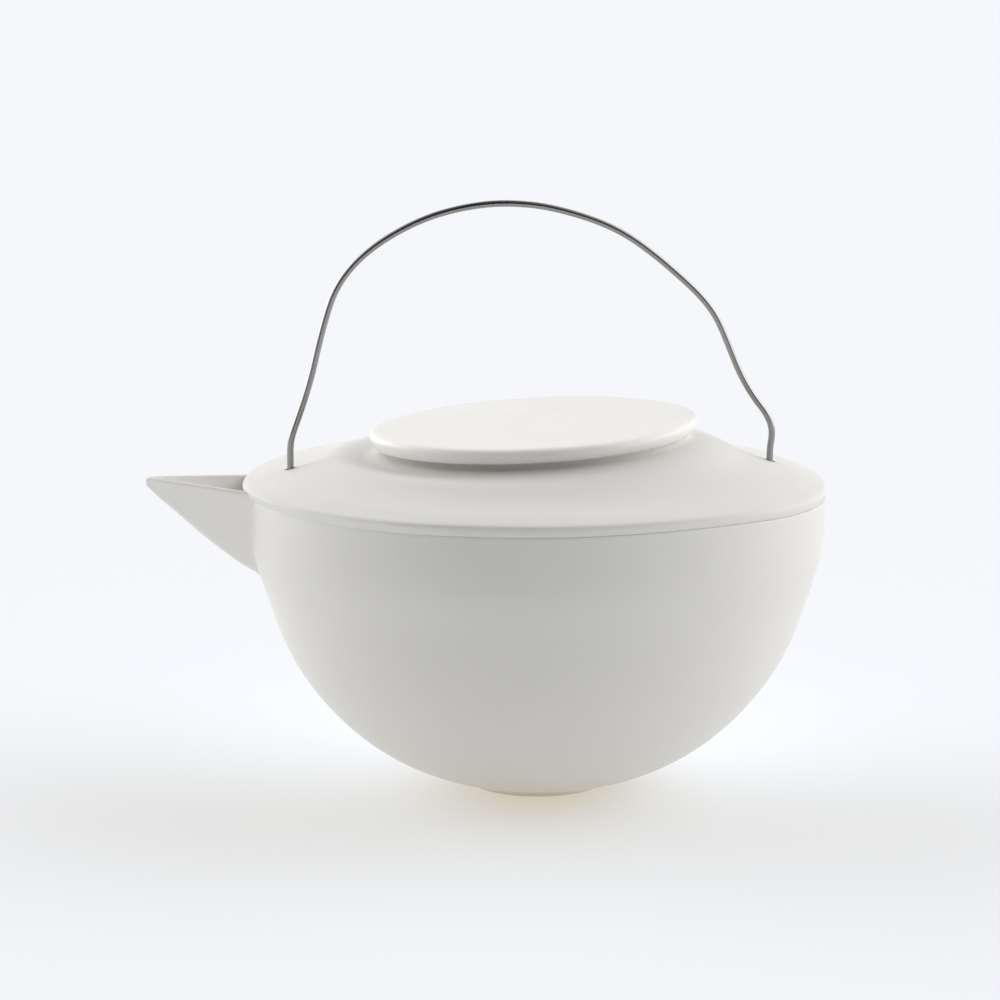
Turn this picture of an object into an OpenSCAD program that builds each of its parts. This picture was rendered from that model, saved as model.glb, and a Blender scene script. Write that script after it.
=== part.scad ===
// Teapot with a lift-out infuser: a deep porcelain bowl closed by a shallow
// conical shoulder, an open V-shaped beak for a spout, a thick flat lid, a bent
// wire bail and a stainless mesh basket hanging in the neck.
// Millimetres. +Z is up, the spout points along -X, the bail lies in the XZ
// plane, and the origin is the centre of the foot, on the surface it stands on.

/* [Bowl] */
// Largest outer radius of the bowl
bowl_r = 87.5; // [86.5:0.5:88]
// Depth of the full bowl curve, from the foot to its widest level
bowl_depth = 89.8; // [89:0.2:91]
// Level of the seam where the shoulder is luted on to the bowl
seam_z = 90.4; // [90.2:0.1:90.6]
// Thickness of the cast porcelain wall
wall = 3; // [2.5:0.5:3.5]
// Radius of the flat unglazed foot
foot_r = 22; // [20:1:24]

/* [Shoulder and neck] */
// Outer radius of the neck that carries the lid
neck_r = 45.2; // [45:0.1:45.4]
// Gap between the sloping top of the neck and the underside of the lid
neck_gap = 0.15; // [0.1:0.05:0.4]
// Radius of the throat below the gallery
throat_r = 38.5; // [38:0.5:39]
// Radius of the gallery recess that receives the infuser rim
gallery_r = 41.2; // [41:0.1:42]
// Level of the gallery ledge
gallery_z = 104; // [103.5:0.25:104.25]
// Radius of the two holes for the wire handle
bail_hole_r = 1.75; // [1.75:0.05:2]

/* [Spout] */
// Half width of the beak where it meets the bowl
beak_w = 18; // [16:0.5:19]
// Reach of the beak's tip from the pot's axis
beak_reach = 118; // [112:1:120]
// Wall thickness of the beak
beak_wall = 1.6; // [1.4:0.1:2]
// Radius of the pouring holes through the bowl behind the beak
strain_r = 2; // [1.5:0.25:2.25]

/* [Bail handle] */
// Radius of the handle wire
wire_r = 1; // [0.8:0.1:1.1]
// Distance of the spout-side leg from the axis
leg_spout = 75; // [74:0.5:76]
// Distance of the other leg from the axis
leg_back = 71; // [70:0.5:72]
// Level of the hooked ends, which are the axis the handle rocks about
hook_z = 93.4; // [93:0.2:93.6]
// Length of each straight hooked end
hook_l = 5; // [3:0.5:7]

/* [Lid] */
// Outer radius of the lid
lid_r = 49.9; // [49:0.1:51]
// Thickness of the lid's disc
lid_t = 4.2; // [4:0.2:4.6]
// Slope of the hand-made disc, low towards the spout, in degrees
lid_slope = 3; // [2:0.5:3]
// Level of the middle of the disc
lid_z = 110.1; // [110:0.1:110.6]
// Shift of the disc towards the spout
lid_shift = 1.4; // [0:0.2:2]
// Outer radius of the locating flange under the lid
ring_r = 33.6; // [33:0.2:34.8]
// Depth of the locating flange
flange_h = 6.5; // [5.5:0.5:7]

/* [Infuser] */
// Outer radius of the mesh wall
mesh_r = 36.4; // [36:0.1:36.4]
// Thickness of the mesh
mesh_t = 0.4; // [0.3:0.05:0.5]
// Level of the underside of the infuser
basket_z = 56.4; // [50:0.2:62]
// Thickness of the pressed stainless rim
rim_t = 0.8; // [0.6:0.1:1]

/* [Hidden] */
$fn = 96;

// ---------- bowl curve ----------
// The bowl is a superellipse turned about Z: t runs from 0 at the foot to
// nearly 90 degrees at the seam.
function bowl_x(t) = bowl_r * pow(sin(t), 2 / 2.35);
function bowl_y(t) = bowl_depth * (1 - pow(cos(t), 2 / 1.93));
function bowl_t(z) = acos(pow(1 - z / bowl_depth, 1.93 / 2));
function bowl_radius(z) = bowl_x(bowl_t(z));
function unit(v) = v / norm(v);
// outward normal of the curve, as [radial, vertical]
function bowl_n(t) = let (u = min(t + 0.2, 90), d = [bowl_x(u) - bowl_x(t - 0.2),
                               bowl_y(u) - bowl_y(t - 0.2)])
                     unit([d[1], -d[0]]);
function bowl_in(t, w) = let (n = bowl_n(t))
                         [bowl_x(t) - w * n[0], bowl_y(t) - w * n[1]];
bowl_steps = 34;
t_foot = bowl_t(1.9);
t_seam = bowl_t(seam_z - 0.8);
outer_curve = [for (i = [0:bowl_steps])
    let (t = t_foot + (t_seam - t_foot) * i / bowl_steps)
    [bowl_x(t), bowl_y(t)]];
inner_curve = [for (i = [bowl_steps:-1:1])
    let (t = 3 + (t_seam - 3) * i / bowl_steps) bowl_in(t, wall)];
cavity_r = bowl_radius(seam_z - 0.8) - wall;

// the whole cast bowl, which is held as two solids that meet at split_z
split_z = 44;
module bowl_shell() {
    rotate_extrude()
        polygon(concat(
            [[0, 0], [foot_r, 0], [foot_r, 1.2]],
            outer_curve,
            [[bowl_r, seam_z - 0.5], [bowl_r - 0.5, seam_z], [cavity_r, seam_z]],
            inner_curve,
            [[0, wall + 0.1]]));
}

module pot_bowl_lower() {
    color([0.86, 0.86, 0.84])
    difference() {
        bowl_shell();
        translate([0, 0, split_z]) cylinder(r = 120, h = 120);
    }
}

module pot_bowl_upper() {
    color([0.86, 0.86, 0.84])
    difference() {
        bowl_shell();
        translate([0, 0, -10]) cylinder(r = 120, h = split_z + 10);
        // pouring holes inside the beak, in a triangle
        for (row = [0:2], k = [0:row])
            translate([-95, (k - row / 2) * 5.4, 75 + row * 4.7])
                rotate([0, 90, 0]) cylinder(r = strain_r, h = 20, $fn = 32);
    }
}

// ---------- shoulder and neck ----------
// They meet on the cylinder of radius neck_foot_r.
neck_foot_r = 50;
module pot_shoulder() {
    color([0.88, 0.88, 0.86])
    difference() {
        rotate_extrude()
            polygon([
                // outside: rolled edge, cone
                [bowl_r - 0.9, seam_z], [87.6, seam_z + 0.3], [88.3, 91.3], [88.5, 92],
                [88.3, 92.8], [87.7, 93.6], [86.8, 94.3], [85.6, 94.9],
                [83.5, 95.8], [80, 97], [75, 98.3], [70, 99.6],
                [65, 100.9], [60, 102], [57, 102.5], [54, 102.8], [52, 103],
                [neck_foot_r, 103.3],
                // inside
                [neck_foot_r, 99.9], [58, 99.1], [65, 97.8], [72, 96], [78, 94.4],
                [81, 93.4], [83, 92.2], [cavity_r - 0.1, 91.2], [cavity_r, seam_z]]);
        translate([-leg_spout, 0, 90]) cylinder(r = bail_hole_r, h = 14, $fn = 32);
        translate([leg_back, 0, 90]) cylinder(r = bail_hole_r, h = 14, $fn = 32);
    }
}

module pot_neck() {
    color([0.88, 0.88, 0.86])
    difference() {
        rotate_extrude()
            polygon([
                // outside: hollow sweep up to the wall of the neck
                [neck_foot_r, 103.3], [48.4, 103.7], [46.9, 104.4], [45.8, 105.3],
                [neck_r, 106.4], [neck_r, 114],
                // inside: gallery and throat
                [gallery_r, 114], [gallery_r, gallery_z],
                [throat_r, gallery_z], [throat_r, 100.4], [39.5, 99.6],
                [neck_foot_r, 99.9]]);
        // the neck is cut on the slope of the lid that lies on it
        sloped() translate([0, 0, -edge - neck_gap]) cylinder(r = 60, h = 20);
    }
}

// ---------- spout ----------
// Sections across the beak: s = 1 where it meets the bowl, s = 0 at the tip.
// Each one is a V between two top edges and a bowed keel.
beak_root = 85;
function beak_x(s) = -(beak_reach - (beak_reach - beak_root) * s);
function beak_half(s) = 1.2 + (beak_w - 1.2) * pow(s, 0.85);
function beak_top(s) = 96.5 - 2.5 * s;
function beak_keel(s) = 93 - 26.4 * s - 5 * s * (1 - s);
function beak_section(s, w, top, keel) = let (m = (top - keel) * 0.5)
    [[beak_x(s), -w, top], [beak_x(s), -w * 0.5, keel + m],
     [beak_x(s), -w * 0.06, keel + m * 0.06], [beak_x(s), w * 0.06, keel + m * 0.06],
     [beak_x(s), w * 0.5, keel + m], [beak_x(s), w, top]];
// the same section bent on to the bowl, just inside its outer surface
function on_bowl(p, depth) = let (z = min(p[2], seam_z - 0.8),
    r = bowl_radius(z) - depth) [-sqrt(r * r - p[1] * p[1]), p[1], p[2]];
// triangles between neighbouring rings of m points, and a strip across each end
function sides(n, m) = [for (i = [0:n - 2], k = [0:m - 1])
    let (a = i * m + k, b = i * m + (k + 1) % m)
    each [[a, b, b + m], [a, b + m, a + m]]];
function strip(o, m) = [for (k = [0:m / 2 - 2])
    each [[o + k, o + k + 1, o + m - 2 - k], [o + k, o + m - 2 - k, o + m - 1 - k]]];
function turned(faces) = [for (f = faces) [f[2], f[1], f[0]]];

module loft(sections) {
    n = len(sections);
    m = len(sections[0]);
    polyhedron([for (s = sections) each s],
               concat(sides(n, m), turned(strip(0, m)), strip((n - 1) * m, m)));
}

beak_n = 12;
module pot_spout() {
    color([0.87, 0.87, 0.85])
    difference() {
        loft(concat(
            [[for (p = beak_section(1, beak_half(1), beak_top(1), beak_keel(1)))
                on_bowl(p, 1.3)]],
            [for (i = [beak_n - 1:-1:0]) let (s = i / beak_n)
                beak_section(s, beak_half(s), beak_top(s), beak_keel(s))]));
        // the open channel
        loft([for (i = [beak_n + 2:-1:0])
            let (s = 0.05 + i / beak_n, half = beak_half(s), top = beak_top(s),
                 keel = beak_keel(s), a = atan(half / (top - keel)),
                 w = max(0.5, half - beak_wall / cos(a)),
                 low = min(top - 1, keel + beak_wall / sin(a)))
            [[beak_x(s), -w * 1.3, top + 0.3 * (top - low)], [beak_x(s), -w * 0.06, low],
             [beak_x(s), w * 0.06, low], [beak_x(s), w * 1.3, top + 0.3 * (top - low)]]]);
    }
}

// ---------- bail handle ----------
// Centre line of the wire above the shoulder, [x, z], bent by hand
bail_pts = [
    [-75, 98], [-75, 105], [-74.3, 109], [-72, 115.5], [-70, 121.5], [-68, 128.5],
    [-66, 137], [-63.5, 146], [-61.3, 152], [-58, 157.4], [-53, 162.8],
    [-46, 168], [-37, 172.8], [-28, 176], [-18, 178], [-9, 178.5], [1, 177.6],
    [11, 175.2], [21, 171.6], [29, 167.2], [37, 161.2], [45, 154.2], [50, 149.2],
    [54, 143.8], [57, 137.4], [60, 130], [62.5, 124.6], [66, 118.8],
    [69.6, 114], [71.4, 110], [71.6, 106.5], [71, 103], [71, 96]];
function mid_tangent(i) = (bail_pts[i + 1] - bail_pts[i - 1]) / 2;
// smooth curve through the points: Hermite pieces with the chords as tangents
function bail_at(i, u) = let (a = bail_pts[i], b = bail_pts[i + 1],
    ta = mid_tangent(i), tb = mid_tangent(i + 1))
    (2 * u * u * u - 3 * u * u + 1) * a + (u * u * u - 2 * u * u + u) * ta
    + (3 * u * u - 2 * u * u * u) * b + (u * u * u - u * u) * tb;
bail_sub = 3;
bail_line = [for (i = [1:len(bail_pts) - 3], j = [0:bail_sub - 1]) bail_at(i, j / bail_sub),
             bail_pts[len(bail_pts) - 2]];
bail_sides = 12;
function bail_dir(i) = i == 0 || i == len(bail_line) - 1 ? (i == 0 ? [0, 1] : [0, -1])
    : unit(bail_line[i + 1] - bail_line[i - 1]);
function bail_ring(i) = let (p = bail_line[i], d = bail_dir(i), r = wire_r - 0.01)
    [for (k = [0:bail_sides - 1]) let (a = 360 * k / bail_sides)
        [p[0] - d[1] * r * cos(a), r * sin(a), p[1] + d[0] * r * cos(a)]];

// straight leg through its hole, a tight bend and the hooked end under the
// shoulder; dir is +1 when the hook points along +X
module bail_end(x, top, dir) {
    bend = 2;
    translate([x, 0, hook_z + bend]) cylinder(r = wire_r, h = top - hook_z - bend, $fn = 32);
    translate([x + dir * bend, 0, hook_z + bend])
        rotate([90, 0, 0])
            rotate([0, 0, dir > 0 ? 180 : 270])
                rotate_extrude(angle = 90, $fn = 64) translate([bend, 0]) circle(r = wire_r, $fn = 32);
    translate([x + dir * bend, 0, hook_z]) rotate([0, dir * 90, 0])
        cylinder(r = wire_r, h = hook_l, $fn = 32);
}

module bail_handle() {
    color([0.55, 0.55, 0.54]) {
        loft([for (i = [0:len(bail_line) - 1]) bail_ring(i)]);
        bail_end(-leg_spout, 106, 1);
        bail_end(leg_back, 104, -1);
    }
}

// ---------- lid ----------
edge = lid_t / 2;
module sloped() {
    translate([-lid_shift, 0, lid_z]) rotate([0, -lid_slope, 0]) children();
}
module lid() {
    color([0.94, 0.94, 0.93])
        sloped()
            rotate_extrude()
                polygon(concat(
                    [[0, -edge]],
                    [for (a = [-90:18:90]) [lid_r - edge + edge * cos(a), edge * sin(a)]],
                    [[lid_r * 0.6, edge + 0.3], [0, edge + 0.5]]));
}

// ring luted under the disc, centred on the pot, which keeps the lid in place
module lid_flange() {
    color([0.94, 0.94, 0.93])
        sloped()
            translate([lid_shift, 0, -edge - flange_h])
                difference() {
                    cylinder(r = ring_r, h = flange_h);
                    translate([0, 0, -1]) cylinder(r = ring_r - 2.4, h = flange_h + 2);
                }
}

// ---------- infuser ----------
module tube(r_out, r_in, z0, z1) {
    translate([0, 0, z0])
        rotate_extrude() translate([r_in, 0]) square([r_out - r_in, z1 - z0]);
}

module infuser_collar() {
    color([0.72, 0.72, 0.71])
        rotate_extrude()
            polygon([[mesh_r + 0.1, 92], [mesh_r + 0.9, 92], [mesh_r + 0.9, gallery_z],
                     [gallery_r - 0.4, gallery_z], [gallery_r - 0.4, gallery_z + rim_t],
                     [mesh_r + 0.1, gallery_z + rim_t]]);
}

module infuser_wall() {
    color([0.66, 0.66, 0.65])
        tube(mesh_r, mesh_r - mesh_t, basket_z + 0.6, gallery_z - 0.2);
}

module infuser_seam_strip() {
    color([0.7, 0.7, 0.69])
        translate([0, 0, basket_z + 5])
            rotate([0, 0, 86])
                rotate_extrude(angle = 8) translate([mesh_r + 0.05, 0])
                    square([0.4, 92 - basket_z - 5.4]);
}

module infuser_hem_ring() {
    color([0.72, 0.72, 0.71])
        rotate_extrude()
            polygon([[33.5, basket_z], [mesh_r + 0.7, basket_z], [mesh_r + 0.7, basket_z + 4.6],
                     [mesh_r + 0.1, basket_z + 4.6], [mesh_r + 0.1, basket_z + 0.6],
                     [33.5, basket_z + 0.6]]);
}

module infuser_floor() {
    color([0.66, 0.66, 0.65])
        translate([0, 0, basket_z + 0.6]) cylinder(r = mesh_r - mesh_t - 0.1, h = 0.4);
}

module infuser_lift_tabs() {
    color([0.74, 0.74, 0.73])
        for (a = [0, 180])
            rotate([0, 0, a + 82])
                translate([0, 0, gallery_z + rim_t])
                    rotate_extrude(angle = 16)
                        polygon([[36.8, 0], [40.4, 0], [40.4, 0.5], [37.5, 0.5],
                                 [37.5, 1.4], [36.8, 1.4]]);
}

pot_bowl_lower();
pot_bowl_upper();
pot_shoulder();
pot_neck();
pot_spout();
bail_handle();
lid();
lid_flange();
infuser_collar();
infuser_wall();
infuser_seam_strip();
infuser_hem_ring();
infuser_floor();
infuser_lift_tabs();
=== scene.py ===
import math
import bmesh
import bpy
import numpy as np
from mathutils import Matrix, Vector


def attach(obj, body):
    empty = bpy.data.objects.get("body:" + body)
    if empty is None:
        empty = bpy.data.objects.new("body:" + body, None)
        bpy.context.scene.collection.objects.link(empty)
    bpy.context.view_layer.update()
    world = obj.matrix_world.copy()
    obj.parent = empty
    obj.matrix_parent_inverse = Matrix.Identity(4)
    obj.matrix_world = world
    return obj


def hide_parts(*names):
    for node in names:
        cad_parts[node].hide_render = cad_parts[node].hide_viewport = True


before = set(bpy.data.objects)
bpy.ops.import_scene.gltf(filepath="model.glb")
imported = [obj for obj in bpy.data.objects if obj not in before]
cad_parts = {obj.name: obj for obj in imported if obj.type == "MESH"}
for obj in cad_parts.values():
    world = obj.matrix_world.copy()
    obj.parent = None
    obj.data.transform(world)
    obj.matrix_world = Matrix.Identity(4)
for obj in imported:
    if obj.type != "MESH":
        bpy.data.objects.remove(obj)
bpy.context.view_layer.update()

MM = 0.001
COLL = bpy.context.scene.collection


# ------------------------------------------------------------------ mesh helpers
def make(name, verts_mm, faces, smooth=True, sharp_deg=None):
    """A mesh object from points in millimetres."""
    me = bpy.data.meshes.new(name)
    me.from_pydata([tuple(float(c) * MM for c in v) for v in verts_mm], [], [tuple(f) for f in faces])
    me.validate()
    bm = bmesh.new()
    bm.from_mesh(me)
    bmesh.ops.remove_doubles(bm, verts=bm.verts, dist=2e-6)
    bmesh.ops.recalc_face_normals(bm, faces=bm.faces)
    if sharp_deg is not None:
        lim = math.radians(sharp_deg)
        for e in bm.edges:
            if len(e.link_faces) == 2 and e.calc_face_angle(0.0) > lim:
                e.smooth = False
    bm.to_mesh(me)
    bm.free()
    for p in me.polygons:
        p.use_smooth = smooth
    ob = bpy.data.objects.new(name, me)
    COLL.objects.link(ob)
    return ob


def resample(pts, step):
    """Even spacing along a polyline, ends kept."""
    p = np.asarray(pts, float)
    d = np.r_[0, np.cumsum(np.linalg.norm(np.diff(p, axis=0), axis=1))]
    n = max(2, int(round(d[-1] / step)) + 1)
    t = np.linspace(0, d[-1], n)
    return np.stack([np.interp(t, d, p[:, k]) for k in range(p.shape[1])], 1)


def smooth_line(pts, step, passes):
    """A soft curve through a run of listed points: dense samples, relaxed, ends fixed."""
    p = resample(pts, step)
    for _ in range(passes):
        q = p.copy()
        q[1:-1] = 0.25 * p[:-2] + 0.5 * p[1:-1] + 0.25 * p[2:]
        p = q
    return p


def arc(cx, cz, r, a0, a1, n):
    """Points of an arc, angles in degrees from +r towards +z."""
    return [[cx + r * math.cos(math.radians(a0 + (a1 - a0) * i / n)),
             cz + r * math.sin(math.radians(a0 + (a1 - a0) * i / n))] for i in range(n + 1)]


def revolve(profile, segs):
    """Vertices and faces of a closed solid of revolution. The profile is a run of [r, z] points;
    where it starts and ends on the axis it is closed there, otherwise it is a closed ring."""
    prof = np.asarray(profile, float)
    on_axis = prof[0][0] < 1e-6 and prof[-1][0] < 1e-6
    verts, faces = [], []
    rows = prof[1:-1] if on_axis else prof
    n = len(rows)
    ang = np.linspace(0, 2 * math.pi, segs, endpoint=False)
    ca, sa = np.cos(ang), np.sin(ang)
    for r, z in rows:
        for k in range(segs):
            verts.append((r * ca[k], r * sa[k], z))
    for i in range(n - 1 if on_axis else n):
        a, b = i * segs, ((i + 1) % n) * segs
        for k in range(segs):
            k2 = (k + 1) % segs
            faces.append((a + k, a + k2, b + k2, b + k))
    if on_axis:
        p0 = len(verts)
        verts.append((0, 0, prof[0][1]))
        p1 = len(verts)
        verts.append((0, 0, prof[-1][1]))
        for k in range(segs):
            k2 = (k + 1) % segs
            faces.append((p0, k2, k))
            faces.append((p1, (n - 1) * segs + k, (n - 1) * segs + k2))
    return np.array(verts, float), faces


def loops_to_mesh(loops, cap_start=True, cap_end=True):
    """Skin closed loops of equal length."""
    m = len(loops[0])
    verts = np.concatenate([np.asarray(l, float) for l in loops])
    faces = []
    for i in range(len(loops) - 1):
        for k in range(m):
            k2 = (k + 1) % m
            faces.append((i * m + k, i * m + k2, (i + 1) * m + k2, (i + 1) * m + k))
    if cap_start:
        faces.append(tuple(range(m)))
    if cap_end:
        faces.append(tuple((len(loops) - 1) * m + k for k in reversed(range(m))))
    return verts, faces


def cut(ob, cutters):
    """Bore holes by exact boolean, applied."""
    for c in cutters:
        md = ob.modifiers.new("bore", "BOOLEAN")
        md.operation = "DIFFERENCE"
        md.solver = "EXACT"
        md.object = c
    bpy.context.view_layer.update()
    deps = bpy.context.evaluated_depsgraph_get()
    me = bpy.data.meshes.new_from_object(ob.evaluated_get(deps))
    ob.modifiers.clear()
    old = ob.data
    ob.data = me
    bpy.data.meshes.remove(old)
    for c in cutters:
        m = c.data
        bpy.data.objects.remove(c)
        bpy.data.meshes.remove(m)
    return ob


def mark_sharp(ob, deg):
    bm = bmesh.new()
    bm.from_mesh(ob.data)
    lim = math.radians(deg)
    for e in bm.edges:
        e.smooth = not (len(e.link_faces) == 2 and e.calc_face_angle(0.0) > lim)
    for f in bm.faces:
        f.smooth = True
    bm.to_mesh(ob.data)
    bm.free()


# ------------------------------------------------------------------ hand-made unevenness
def wave(theta, terms):
    return sum(a * np.sin(k * theta + p) for k, a, p in terms)


ROUND_TERMS = [(2, 0.13, 0.6), (3, 0.09, 2.1), (5, 0.05, 4.0), (7, 0.025, 1.2)]
# the level of the shoulder's edge all round, as [angle from +X, height]: it droops at both ends of X
EDGE_LEVEL = np.array([[0, 89.6], [12, 89.9], [26, 90.7], [35, 91.1], [45, 91.9], [60, 92.4], [90, 92.3], [120, 92.3],
                       [145, 92.0], [160, 92.0], [170, 91.3], [180, 90.7], [190, 91.7], [200, 92.2], [215, 91.9],
                       [240, 92.3], [270, 92.4], [300, 92.5], [314, 92.0], [320, 91.5], [327, 91.0], [334, 90.7],
                       [346, 90.0], [360, 89.6]])
EDGE_TERMS = [(5, 0.07, 2.2), (9, 0.05, 5.1), (13, 0.03, 0.4)]


def edge_rise(th):
    """How far the edge stands above its mean level at the angle th."""
    d = np.degrees(th)
    total = sum(k * np.interp((d + o) % 360, EDGE_LEVEL[:, 0], EDGE_LEVEL[:, 1]) for o, k in
                ((-6, 0.1), (-3, 0.2), (0, 0.4), (3, 0.2), (6, 0.1)))
    return total - 90.4 + wave(th, EDGE_TERMS)


def warp(v, drift):
    """The same slight unevenness for every porcelain piece of the pot: out of round by a tenth or
    two of a millimetre, and a rolled edge whose level wanders. The drift is how far the edge sits
    towards the spout."""
    v = np.array(v, float)
    r = np.hypot(v[:, 0], v[:, 1])
    th = np.arctan2(v[:, 1], v[:, 0])
    body = np.clip(v[:, 2] / 30.0, 0, 1) * np.clip((r - 30) / 40.0, 0, 1)
    dr = wave(th, ROUND_TERMS) * body
    near = np.exp(-((v[:, 2] - 91.0) / 5.5) ** 2) * np.clip((r - 70) / 12.0, 0, 1)
    dz = edge_rise(th) * near
    side_ = np.clip((v[:, 2] - 62) / 16, 0, 1)
    side_ = side_ * side_ * (3 - 2 * side_)
    dr = dr + 0.5 * wave(th, [(4, 0.12, 1.0), (7, 0.08, 3.0), (11, 0.05, 0.2)]) * near - drift * np.cos(th) * side_ * np.clip((r - 60) / 20, 0, 1)
    out = v.copy()
    k = np.where(r > 1e-6, (r + dr) / np.maximum(r, 1e-6), 1.0)
    out[:, 0] *= k
    out[:, 1] *= k
    out[:, 2] += dz
    return out


# ------------------------------------------------------------------ bowl
BOWL_R, BOWL_D, WALL, FOOT_R = 87.5, 89.8, 3.0, 22.0


def bowl_x(t):
    return BOWL_R * np.sin(t) ** (2 / 2.35)


def bowl_y(t):
    return BOWL_D * (1 - np.cos(t) ** (2 / 1.93))


def bowl_t(z):
    return np.arccos((1 - np.asarray(z, float) / BOWL_D) ** (1.93 / 2))


def bowl_radius(z):
    return bowl_x(bowl_t(z))


def bowl_profile():
    t0, t1 = float(bowl_t(1.75)), float(bowl_t(89.6))
    t = np.linspace(t0, t1, 900)
    outer = resample(np.stack([bowl_x(t), bowl_y(t)], 1), 1.1)
    # the hand-finished wall is a little fuller near the top and leaner in the haunch
    outer[:, 0] += np.interp(outer[:, 1], [0, 25, 40, 50, 57, 62, 67, 71, 75, 80, 86, 90],
                             [0, 0, 0.1, -0.25, -0.5, -0.5, -0.1, 0.3, 0.6, 0.45, 0.25, 0.2])
    foot = [[0, 0.0]] + [[r, 0.0] for r in (5, 10, 15, 18, 19.5)] + \
        [[19.95, 0.1], [20.15, 0.35], [20.25, 0.75], [20.6, 1.1], [21.4, 1.3]]
    lip = [[87.7, 90.2], [87.62, 90.32], [87.4, 90.38], [87.0, 90.4], [86.4, 90.4]]
    top = [[86.0, 90.4], [85.2, 90.4], [84.6, 90.4]]
    ti = np.linspace(t1, math.radians(3), 700)
    n = np.stack([np.gradient(bowl_y(ti), ti), -np.gradient(bowl_x(ti), ti)], 1)
    n = n / np.linalg.norm(n, axis=1)[:, None]
    inner = resample(np.stack([bowl_x(ti), bowl_y(ti)], 1) - WALL * n, 2.4)
    return np.concatenate([foot, outer, lip, top, inner, [[0, 3.1]]])


SEGS = 224


def peg(name, start, end, r, n=28):
    """A round cutter from start to end."""
    a, b = Vector(start), Vector(end)
    d = (b - a).normalized()
    u = d.orthogonal().normalized()
    w = d.cross(u)
    loops = [[tuple(p + r * (math.cos(2 * math.pi * k / n) * u + math.sin(2 * math.pi * k / n) * w))
              for k in range(n)] for p in (a, b)]
    v, f = loops_to_mesh(loops)
    return make(name, v, f, smooth=False)


v, f = revolve(bowl_profile(), SEGS)
bowl = make("porcelain_bowl", warp(v, 0.25), f)
cut(bowl, [peg("peg", (-96, (k - row / 2) * 5.4, 75 + row * 4.7), (-76, (k - row / 2) * 5.4, 75 + row * 4.7), 2.0)
           for row in range(3) for k in range(row + 1)])
mark_sharp(bowl, 38)


# ------------------------------------------------------------------ shoulder
NECK_R, GALLERY_R = 45.2, 41.2
LID_R, LID_T, LID_Z, LID_SHIFT, LID_SLOPE = 49.9, 4.2, 110.1, 1.4, 3.0
SLOPE = math.radians(LID_SLOPE)


def lid_under(x):
    """Level of the plane under the lid at x."""
    return LID_Z + (x + LID_SHIFT) * math.tan(SLOPE) - LID_T / 2 / math.cos(SLOPE)


SWEEP = smooth_line([
    [87.4, 90.3], [87.68, 90.42], [87.74, 90.75], [87.95, 91.4], [88.22, 92.1], [88.45, 92.8], [88.52, 93.25], [88.35, 93.7],
    [87.85, 94.1], [87.0, 94.5], [85.8, 94.95], [84.2, 95.5], [82.2, 96.25], [80, 97.0],
    [76, 98.05], [72, 99.1], [69, 99.95], [66, 100.9], [63, 101.95], [60, 102.85], [57, 103.5], [54, 104.05],
    [51, 104.62], [48.8, 105.12], [47.6, 105.36], [47.0, 105.5], [46.4, 105.75], [45.9, 106.15], [45.5, 106.7],
    [45.25, 107.4], [45.2, 108.4], [45.2, 114]], 0.2, 8)
UNDER = smooth_line([[39.5, 99.6], [44, 99.9], [50, 99.9], [58, 99.1], [65, 97.8], [72, 96],
                     [78, 94.4], [81, 93.4], [83, 92.2], [84.3, 91.3], [84.6, 90.45]], 1.5, 2)


def shoulder_section(a):
    """The shoulder's section at the angle a: the neck is cut on the slope of the lid."""
    lip = 0.95
    top = lid_under(NECK_R * math.cos(a)) - 0.15
    top_in = lid_under(GALLERY_R * math.cos(a)) - 0.15
    line = SWEEP.copy()
    near = np.clip((64 - line[:, 0]) / 14, 0, 1)
    line[:, 1] += math.tan(SLOPE) * math.cos(a) * line[:, 0] * near * near * (3 - 2 * near)
    split = int(np.argmax(line[:, 0] < 50.0))
    dome, rise = line[:split], line[split:]
    keep, last = [dome[0]], SWEEP[0]
    for p, q in zip(dome[1:], SWEEP[1:split]):
        if np.linalg.norm(q - last) >= (0.4 if q[0] > 83 else 1.1):
            keep.append(p)
            last = q
    z_lip = top - lip
    r_lip = float(np.interp(z_lip, rise[:, 1], rise[:, 0]))
    rise = np.array([list(p) for p in rise if p[1] < z_lip - 0.02] + [[r_lip, z_lip]])
    run = np.concatenate([[0], np.cumsum(np.hypot(*np.diff(rise, axis=0).T))])
    at = np.linspace(0, run[-1], 27)[1:]
    up = [[float(np.interp(d, run, rise[:, 0])), float(np.interp(d, run, rise[:, 1]))] for d in at]
    over = arc(r_lip - lip, z_lip, lip, 15, 90, 5)
    flat = [[43.6, 0.5 * (top + top_in)], [41.85, top_in]]
    inner = [[41.45, top_in - 0.12], [41.22, top_in - 0.45]] + \
        [[41.2, top_in - 0.45 - (top_in - 0.45 - 104.1) * k / 4] for k in range(1, 5)]
    ledge = [[41.1, 104.0], [40, 104], [39.1, 104], [38.65, 103.9], [38.5, 103.5], [38.5, 102],
             [38.5, 100.4], [38.8, 99.9], [39.5, 99.6]]
    return np.array([list(p) for p in keep] + [list(rise[0])] + up + over + flat + inner + ledge
                    + [list(p) for p in UNDER[1:]] + [[86.3, 90.3]])


cols = [shoulder_section(2 * math.pi * k / SEGS) for k in range(SEGS)]
n = len(cols[0])
v = np.array([(cols[k][i][0] * math.cos(2 * math.pi * k / SEGS), cols[k][i][0] * math.sin(2 * math.pi * k / SEGS), cols[k][i][1])
              for i in range(n) for k in range(SEGS)])
f = [(i * SEGS + k, i * SEGS + (k + 1) % SEGS, ((i + 1) % n) * SEGS + (k + 1) % SEGS, ((i + 1) % n) * SEGS + k)
     for i in range(n) for k in range(SEGS)]
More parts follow.
